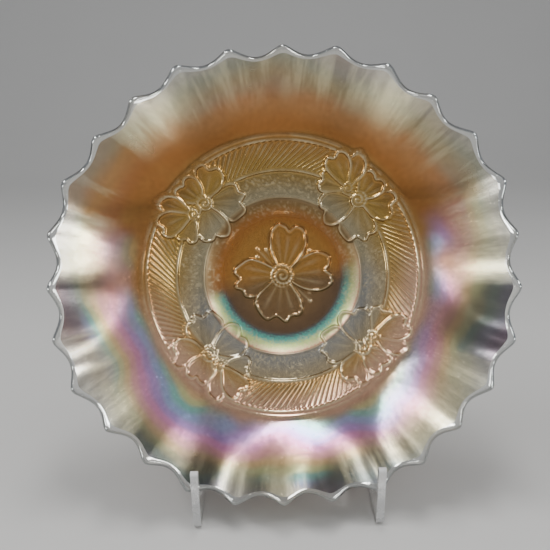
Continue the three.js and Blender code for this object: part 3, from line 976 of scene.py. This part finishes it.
class LustreFilm:
    """The film's colour over the inner face, by its place round the axis and out from it, with painted
    highlights and shade laid over it.
    """

    def __init__(self, mixer, bowl):
        self.mixer = mixer
        self.silver, self.cream = tuple(bowl.silver), tuple(bowl.cream)
        self.gold, self.amber = tuple(bowl.gold), tuple(bowl.amber)
        self.flat, self.radius, self.degrees = polar_place(mixer)
        # The film ran and pooled unevenly, so its bands wander in and out and round.
        self.drift = mixer.noise(self.flat, 26.0)
        self.tints = mixer.parts(mixer.noise(self.flat, 19.0, output="Color"))
        sway = mixer.scaled(self.tints[1], 12.0, -6.0)
        self.around = mixer.math("WRAP", mixer.plus(self.degrees, sway), 360.0, 0.0)
        self.film_radius = self.wandering_radius()
        start = mixer.scaled(self.drift, 10.0, 81.0)
        self.on_flare = mixer.eased(mixer.minus(self.radius, start), 0.0, 15.0)

    def round_share(self, stops):
        return self.mixer.share_ramp(self.around, stops)

    def wandering_radius(self):
        """The radius by which the bands are coloured: it drifts, and lags where the amber runs out."""
        mixer = self.mixer
        wander = mixer.times(mixer.minus(self.drift, 0.5), 16.0)
        loose = mixer.math("MAXIMUM", mixer.eased(self.radius, 60.0, 80.0), 0.25)
        radius = mixer.scaled(wander, loose, self.radius)
        reach = mixer.times(self.round_share(AMBER_REACH), mixer.eased(self.radius, 74.0, 92.0))
        return mixer.scaled(reach, -17.0, radius)

    def colour(self):
        colour = self.ground()
        for layer in (self.satin_and_sheen, self.painted_gap_shade, self.painted_well_highlight, self.rainbow, self.relief_glints_and_shade):
            colour = layer(colour)
        mottle = self.mixer.noise(self.flat, 420.0, 3.0)
        scaled = {0: colour, "Scale": self.mixer.scaled(mottle, 0.4, 0.8)}
        return self.mixer.node("ShaderNodeVectorMath", scaled, operation="SCALE")[0]

    def ground(self):
        """Amber above and cooler, darker colours below, each banded from the axis outwards. The amber
        is the film's own; the split between the halves is painted reflection and shade, warmer above
        and darker below.
        """
        mixer = self.mixer
        upper = mixer.ramp(self.film_radius, [
            (0, (0.46, 0.24, 0.05)), (26, (0.50, 0.23, 0.045)), (34, (0.47, 0.17, 0.03)),
            (41, (0.22, 0.13, 0.05)), (45, (0.44, 0.38, 0.23)), (56, (0.44, 0.29, 0.09)),
            (60, (0.46, 0.28, 0.06)), (73, (0.42, 0.21, 0.05)), (78, self.amber),
            (88, (0.46, 0.21, 0.07)), (98, (0.36, 0.27, 0.15)), (106, (0.34, 0.31, 0.23)),
            (FILM_END, self.silver)])
        lower = mixer.ramp(self.film_radius, [
            (0, (0.32, 0.18, 0.05)), (20, (0.24, 0.14, 0.06)), (33, DEEP_BROWN),
            (42, (0.20, 0.15, 0.10)), (45, COOL_GREY), (56, (0.44, 0.36, 0.22)), (59, self.gold),
            (71, ROSE), (80, (0.48, 0.24, 0.17)), (90, (0.28, 0.15, 0.09)),
            (98, (0.13, 0.11, 0.085)), (FILM_END, (0.13, 0.125, 0.115))])
        turn = mixer.math("RADIANS", mixer.minus(self.degrees, LOWER_SIDE))
        facing = mixer.minus(mixer.math("COSINE", turn), 0.25)
        facing = mixer.scaled(self.tints[0], 0.5, facing)
        return mixer.blend(mixer.eased(facing, -0.2, 0.3), upper, lower)

    def satin_and_sheen(self, colour):
        """Painted highlights: pale sheen on the flare, drawn out into radial streaks like the light
        that its folds catch.
        """
        mixer = self.mixer
        heading = mixer.node("ShaderNodeVectorMath", {0: self.flat}, operation="NORMALIZE")[0]
        x, y, _ = mixer.parts(heading)
        streak = mixer.noise(mixer.joined(x, y, mixer.times(self.radius, 0.002)), 13.0, 3.0, 0.6)
        streaked = mixer.scaled(mixer.eased(streak, 0.38, 0.64), 0.6, -0.4)
        sheen = mixer.math("ADD", self.round_share(SHEEN), streaked, clamp=True)
        # The painted highlight's colours, from its orange inner end out to the rim.
        pale = mixer.ramp(self.radius, [
            (80, (0.84, 0.40, 0.20)), (91, self.cream), (103, (0.88, 0.78, 0.48)),
            (FILM_END, (0.76, 0.76, 0.64))])
        return mixer.blend(mixer.times(sheen, self.on_flare), colour, pale)

    def painted_gap_shade(self, colour):
        # Painted shade: the flare's gaps between its highlights are painted dark.
        share = self.mixer.times(
            self.round_share(SHADED_GAPS), self.mixer.eased(self.radius, 82.0, 96.0))
        return self.mixer.blend(share, colour, GAP_SHADE)

    def painted_well_highlight(self, colour):
        """A painted highlight: a bright rainbow arc on the well's lower wall."""
        mixer = self.mixer
        rough_radius = mixer.scaled(mixer.noise(self.flat, 900.0), 6.0, self.radius)
        arc = mixer.ramp(mixer.minus(rough_radius, ARC_START), ARC_COLOURS)
        on_wall = mixer.between(
            self.radius, (FLOOR_RADIUS + 1, FLOOR_RADIUS + 4), (WELL_RADIUS + 0.6, WELL_RADIUS - 0.6))
        return mixer.blend(mixer.times(on_wall, self.round_share(WELL_HIGHLIGHT)), colour, arc)

    def rainbow(self, colour):
        """A band where the film is thinnest, and a faint play of the same colours on the painted sheen.
        The colours are the film's own; their strength round the bowl is painted reflection.
        """
        mixer = self.mixer
        phase = mixer.scaled(self.radius, -0.036, 2.95)
        phase = mixer.scaled(self.tints[2], 1.2, phase)
        phase = mixer.scaled(self.drift, 0.5, phase)
        oil = mixer.ramp(mixer.math("WRAP", phase, 1.0, 0.0), OIL_COLOURS)
        band = mixer.between(
            self.film_radius, (BORDER_OUTER_RADIUS + 2, BORDER_OUTER_RADIUS + 10), (104.0, 92.0))
        band = mixer.times(band, mixer.eased(self.tints[1], 0.3, 0.52))
        share = mixer.times(band, self.round_share(RAINBOW))
        colour = mixer.blend(mixer.times(share, 0.9), colour, oil)
        return mixer.blend(mixer.times(self.on_flare, 0.07), colour, oil)

    def relief_glints_and_shade(self, colour):
        """Painted highlights and shade on the relief: its crests are painted pale gold in patches as
        glints, and the dark lines beside them as shade.
        """
        mixer = self.mixer
        crest = mixer.node("ShaderNodeAttribute", attribute_name="crest")["Fac"]
        # The painted glints are broken into patches.
        glint_patches = mixer.scaled(mixer.eased(mixer.noise(self.flat, 75.0), 0.38, 0.6), 0.52, 0.26)
        glint = mixer.times(mixer.math("MULTIPLY", crest, 1.0, clamp=True), glint_patches)
        colour = mixer.blend(glint, colour, GLINT_GOLD)
        # Painted shade on the dark lines beside the crests.
        painted_shade = mixer.times(mixer.math("MULTIPLY", crest, -1.0, clamp=True), 0.75)
        return mixer.blend(painted_shade, colour, SHADE_GOLD)


def make_lustre_film(bowl):
    material, mixer, sockets = new_finish("lustre film", {
        "Metallic": 0.72, "Transmission Weight": 1.0, "IOR": 1.5})
    film = LustreFilm(mixer, bowl)
    mixer.feed(sockets["Base Color"], film.colour())
    satin_and_sheen = mixer.scaled(mixer.eased(film.radius, 74.0, 92.0), 0.09, 0.12)
    on_well = mixer.between(
        film.radius, (FLOOR_RADIUS + 1, FLOOR_RADIUS + 5), (WELL_RADIUS + 3, WELL_RADIUS - 1))
    satin_and_sheen = mixer.scaled(on_well, 0.24, satin_and_sheen)
    mixer.feed(sockets["Roughness"], mixer.plus(satin_and_sheen, haze(mixer, 0.0, 0.07, 55.0)))
    give_waves(mixer, sockets, size=70.0, pits=0.15, strength=0.35, depth=0.0006)
    return material


def make_bare_glass(name, metallic, film, stops, clean):
    """Clearer glass with a thin film, coloured by its distance from the axis."""
    material, mixer, sockets = new_finish(name, {
        "Metallic": metallic, "Transmission Weight": 1.0, "IOR": 1.5,
        "Thin Film Thickness": film, "Thin Film IOR": 1.6})
    flat, radius, _ = polar_place(mixer)
    drift = mixer.scaled(mixer.noise(flat, 24.0, 3.0), 18.0, -9.0)
    mixer.feed(sockets["Base Color"], mixer.ramp(mixer.plus(radius, drift), stops))
    mixer.feed(sockets["Roughness"], haze(mixer, clean, 0.2, 45.0))
    give_waves(mixer, sockets, size=60.0, pits=0.4, strength=0.4, depth=0.0006)
    return material


def make_back_glass():
    return make_bare_glass("back glass", 0.12, 330.0, [
        (0, (0.62, 0.40, 0.20)), (50, (0.68, 0.46, 0.24)), (78, (0.72, 0.50, 0.28)),
        (92, (0.80, 0.68, 0.50)), (102, (0.84, 0.81, 0.74)), (FILM_END, (0.86, 0.86, 0.83))], 0.07)


def make_rim_glass():
    return make_bare_glass("fire-polished rim", 0.35, 260.0, [
        (0, (0.86, 0.84, 0.78)), (104, (0.88, 0.84, 0.76)), (112, (0.90, 0.90, 0.88)),
        (124, (0.84, 0.87, 0.90))], 0.05)


def make_clear_plastic(name, clearness, clean, smeared, waviness):
    tint = settings().stand.tint
    material, mixer, sockets = new_finish(name, {
        "Metallic": 0.0, "Transmission Weight": clearness, "IOR": 1.49})
    cloud = mixer.noise(mixer.place(), 90.0, 3.0)
    cloudy = [channel * 0.93 for channel in tint]
    mixer.feed(sockets["Base Color"], mixer.blend(mixer.eased(cloud, 0.35, 0.7), tint, cloudy))
    mixer.feed(sockets["Roughness"], haze(mixer, clean, smeared, 130.0))
    give_waves(mixer, sockets, size=150.0, pits=0.5, strength=waviness, depth=0.0003)
    return material


def make_floor_finish(colour):
    material, mixer, sockets = new_finish("plain floor", {"Specular IOR Level": 0.3})
    cloud = mixer.noise(mixer.place(), 9.0, 4.0)
    paler = [min(1, channel * 1.04) for channel in colour]
    mixer.feed(sockets["Base Color"], mixer.blend(cloud, colour, paler))
    mixer.feed(sockets["Roughness"], mixer.scaled(cloud, 0.1, 0.5))
    return material


# ------------------------------------------------------------------ stand pieces


def rounded_copy(node, name, rounding):
    """The frame's sheet with its cut edges rounded: slot 0 on its faces, slot 1 on its edges."""
    form = bmesh.new()
    form.from_mesh(frame["nodes"][node].data)
    bmesh.ops.remove_doubles(form, verts=form.verts, dist=1e-6)
    bmesh.ops.dissolve_limit(form, angle_limit=math.radians(1), verts=form.verts, edges=form.edges)
    for face in form.faces:
        face.smooth = True
        face.material_index = 0 if abs(face.normal.x) > 0.9 else 1
    sharp = [edge for edge in form.edges if edge.calc_face_angle(0) > SHARP_ANGLE]
    bmesh.ops.bevel(form, geom=sharp, offset=rounding, segments=CORNER_STEPS, profile=0.5,
                    affect="EDGES", clamp_overlap=True, material=1)
    for face in form.faces:
        face.smooth = True
    mesh = bpy.data.meshes.new(name)
    form.to_mesh(mesh)
    form.free()
    piece = bpy.data.objects.new(name, mesh)
    piece.modifiers.new("flat faces stay flat", "WEIGHTED_NORMAL").weight = 100
    return piece


def rod_profile(tip, shoulder, radius):
    """(radius, place along) over a rod with a shoulder and a spigot at each end, in millimetres."""
    half = []
    for end, end_radius in ((tip, SPIGOT_RADIUS), (shoulder, radius)):
        for turn in np.linspace(math.pi / 2, 0, 5):
            half.append((end_radius - ROD_ROUNDING * (1 - math.cos(turn)),
                         end - ROD_ROUNDING * (1 - math.sin(turn))))
        if end == tip:
            half.append((SPIGOT_RADIUS, shoulder + 0.05))
    return half + [(size, -along) for size, along in reversed(half)]


def rod_mesh(node):
    """A rod turned round x, in the place of the frame's own."""
    low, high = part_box(node)
    centre = (low + high) / 2
    frame_low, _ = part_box("right_side_frame")
    profile = rod_profile(
        tip=(high.x - low.x) / 2 / MM,
        shoulder=(frame_low.x - centre.x) / MM - SHOULDER_CLEARANCE,
        radius=(high.z - low.z) / 2 / MM)
    form = bmesh.new()
    rings = []
    turns = [index / ROD_SIDES * 2 * math.pi for index in range(ROD_SIDES)]
    for size, along in profile:
        rings.append([form.verts.new((
            centre.x + along * MM,
            centre.y + size * MM * math.cos(turn),
            centre.z + size * MM * math.sin(turn))) for turn in turns])
    for ring, following in zip(rings, rings[1:]):
        for index in range(ROD_SIDES):
            after = (index + 1) % ROD_SIDES
            form.faces.new((ring[index], following[index], following[after], ring[after]))
    form.faces.new(rings[0])
    form.faces.new(reversed(rings[-1]))
    bmesh.ops.recalc_face_normals(form, faces=form.faces)
    for face in form.faces:
        face.smooth = True
    mesh = bpy.data.meshes.new(node)
    form.to_mesh(mesh)
    form.free()
    return mesh


def link_piece(piece, materials):
    for material in materials:
        piece.data.materials.append(material)
    bpy.context.scene.collection.objects.link(piece)
    return piece


def ensure_groups():
    if "handling haze" not in bpy.data.node_groups:
        make_handling_haze()
    if "pressed waviness" not in bpy.data.node_groups:
        make_pressed_waviness()


def clear_plastic(name, **finish):
    return bpy.data.materials.get(name) or make_clear_plastic(name, **finish)


def plastic_face():
    return clear_plastic("clear plastic", clearness=0.92, clean=0.03, smeared=0.12, waviness=0.2)


def plastic_edge():
    return clear_plastic("cut edge", clearness=0.45, clean=0.2, smeared=0.4, waviness=0.6)


# ------------------------------------------------------------------ stage


def make_floor(stage):
    """A floor that curves up into a backdrop behind the object."""
    reach, back, height, bend = 3.0, 1.5, 2.6, 0.7
    profile = [(-reach, 0), (back - bend, 0)]
    for turn in np.linspace(0, math.pi / 2, 14)[1:]:
        profile.append((back - bend + bend * math.sin(turn), bend * (1 - math.cos(turn))))
    profile.append((back, height))
    points = [(side * reach, y, z) for side in (-1, 1) for y, z in profile]
    count = len(profile)
    faces = [(i, count + i, count + i + 1, i + 1) for i in range(count - 1)]
    mesh = bpy.data.meshes.new("studio_floor")
    mesh.from_pydata(points, [], faces)
    mesh.polygons.foreach_set("use_smooth", [True] * len(faces))
    floor = bpy.data.objects.new("studio_floor", mesh)
    link_piece(floor, [make_floor_finish(stage.floor_colour)])


def add_strip_light(name, place, around, lift, size, power):
    """A soft strip that faces the rim's centre. In the bowl's frame it stands round the axis by one
    angle and lifts towards the mouth's side by the other, and its length runs along that lift."""
    turn, rise = math.radians(around), math.radians(lift)
    out = Vector((math.cos(turn) * math.cos(rise), math.sin(turn) * math.cos(rise), math.sin(rise)))
    across = Vector((-math.sin(turn), math.cos(turn), 0))
    along = out.cross(across)
    light = bpy.data.lights.new(name, "AREA")
    light.shape = "RECTANGLE"
    light.size, light.size_y = size
    light.energy = power
    lamp = bpy.data.objects.new(name, light)
    basis = Matrix((across, along, out)).transposed().to_4x4()
    lamp.matrix_world = place @ Matrix.Translation(out * LIGHT_DISTANCE) @ basis
    bpy.context.scene.collection.objects.link(lamp)


def light_stage(stage, rim_place):
    """Soft strips round the bowl, each drawn out by the flare's folds into streaks."""
    for name, around, lift, size, share in STRIP_LIGHTS:
        add_strip_light(name, rim_place, around, lift, size, stage.light_power * share)
    world = bpy.data.worlds.new("studio")
    world.use_nodes = True
    background = world.node_tree.nodes["Background"].inputs
    background["Color"].default_value = (0.92, 0.95, 1, 1)
    background["Strength"].default_value = stage.sky_strength
    bpy.context.scene.world = world


def place_camera(stage, rim_centre):
    azimuth, elevation = stage.view_azimuth, stage.view_elevation
    back = Vector((-math.sin(azimuth) * math.cos(elevation),
                   -math.cos(azimuth) * math.cos(elevation), math.sin(elevation)))
    right = Vector((0, 0, 1)).cross(back).normalized()
    up = back.cross(right)
    eye = rim_centre + back * stage.view_distance
    aim = rim_centre - right * stage.aim_left - up * stage.aim_below
    turn = (eye - aim).to_track_quat("Z", "Y").to_matrix()
    roll = Matrix.Rotation(-stage.view_roll, 3, "Z")
    camera_data = bpy.data.cameras.new("camera")
    camera_data.lens = stage.lens
    camera_data.sensor_width = 36
    camera_data.clip_start = 0.01
    camera = bpy.data.objects.new("camera", camera_data)
    camera.matrix_world = Matrix.Translation(eye) @ (turn @ roll).to_4x4()
    bpy.context.scene.collection.objects.link(camera)
    bpy.context.scene.camera = camera


# ------------------------------------------------------------------ operators


class GLASSWARE_OT_make_bowl(bpy.types.Operator):
    """Make the pressed and ruffled glass bowl"""

    bl_idname = "glassware.make_bowl"
    bl_label = "Glass Bowl"

    def execute(self, context):
        ensure_groups()
        bowl = settings().bowl
        piece = bpy.data.objects.new("ruffled_bowl", bowl_mesh(bowl))
        piece.matrix_world = bowl_place()
        link_piece(piece, [make_lustre_film(bowl), make_back_glass(), make_rim_glass()])
        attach(piece, "bowl")
        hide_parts("glass_bowl")
        return {"FINISHED"}


class GLASSWARE_OT_make_side_frames(bpy.types.Operator):
    """Make the two clear side frames of the stand"""

    bl_idname = "glassware.make_side_frames"
    bl_label = "Stand Side Frames"

    def execute(self, context):
        ensure_groups()
        for side in ("left", "right"):
            node = f"{side}_side_frame"
            piece = rounded_copy(node, f"{side}_stand_side", settings().stand.edge_rounding)
            link_piece(piece, [plastic_face(), plastic_edge()])
            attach(piece, "stand")
            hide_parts(node)
        return {"FINISHED"}


class GLASSWARE_OT_make_cross_rods(bpy.types.Operator):
    """Make the two clear rods that join the side frames"""

    bl_idname = "glassware.make_cross_rods"
    bl_label = "Stand Cross Rods"

    def execute(self, context):
        ensure_groups()
        for end in ("front", "rear"):
            node = f"{end}_cross_rod"
            piece = bpy.data.objects.new(f"{end}_stand_rod", rod_mesh(node))
            link_piece(piece, [plastic_face()])
            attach(piece, "stand")
            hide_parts(node)
        return {"FINISHED"}


class GLASSWARE_OT_make_stage(bpy.types.Operator):
    """Make the floor, the lights and the camera"""

    bl_idname = "glassware.make_stage"
    bl_label = "Studio"

    def execute(self, context):
        stage = settings().stage
        rim_place = bowl_place() @ Matrix.Translation((0, 0, settings().bowl.rim_height))
        make_floor(stage)
        light_stage(stage, rim_place)
        place_camera(stage, rim_place.translation)
        return {"FINISHED"}


class GLASSWARE_PT_panel(bpy.types.Panel):
    """The bowl's settings and its makers"""

    bl_label = "Ruffled Lustre Bowl"
    bl_idname = "GLASSWARE_PT_panel"
    bl_space_type = "VIEW_3D"
    bl_region_type = "UI"
    bl_category = "Glassware"

    def draw(self, context):
        for label, group in (("Bowl", settings().bowl), ("Stand", settings().stand),
                             ("Studio", settings().stage)):
            box = self.layout.box()
            box.label(text=label)
            for name in group.__annotations__:
                box.prop(group, name)
        for maker in MAKERS:
            self.layout.operator(maker.bl_idname)


MAKERS = (
    GLASSWARE_OT_make_bowl,
    GLASSWARE_OT_make_side_frames,
    GLASSWARE_OT_make_cross_rods,
    GLASSWARE_OT_make_stage,
)
CLASSES = (
    BowlSettings, StandSettings, StageSettings, LustreBowlSettings, *MAKERS, GLASSWARE_PT_panel,
)


def register():
    for item in CLASSES:
        bpy.utils.register_class(item)
    bpy.types.Scene.lustre_bowl = PointerProperty(type=LustreBowlSettings)


def unregister():
    del bpy.types.Scene.lustre_bowl
    for item in reversed(CLASSES):
        bpy.utils.unregister_class(item)


def main():
    register()
    bpy.ops.glassware.make_bowl()
    bpy.ops.glassware.make_side_frames()
    bpy.ops.glassware.make_cross_rods()
    bpy.ops.glassware.make_stage()
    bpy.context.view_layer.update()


if __name__ == "__main__":
    main()
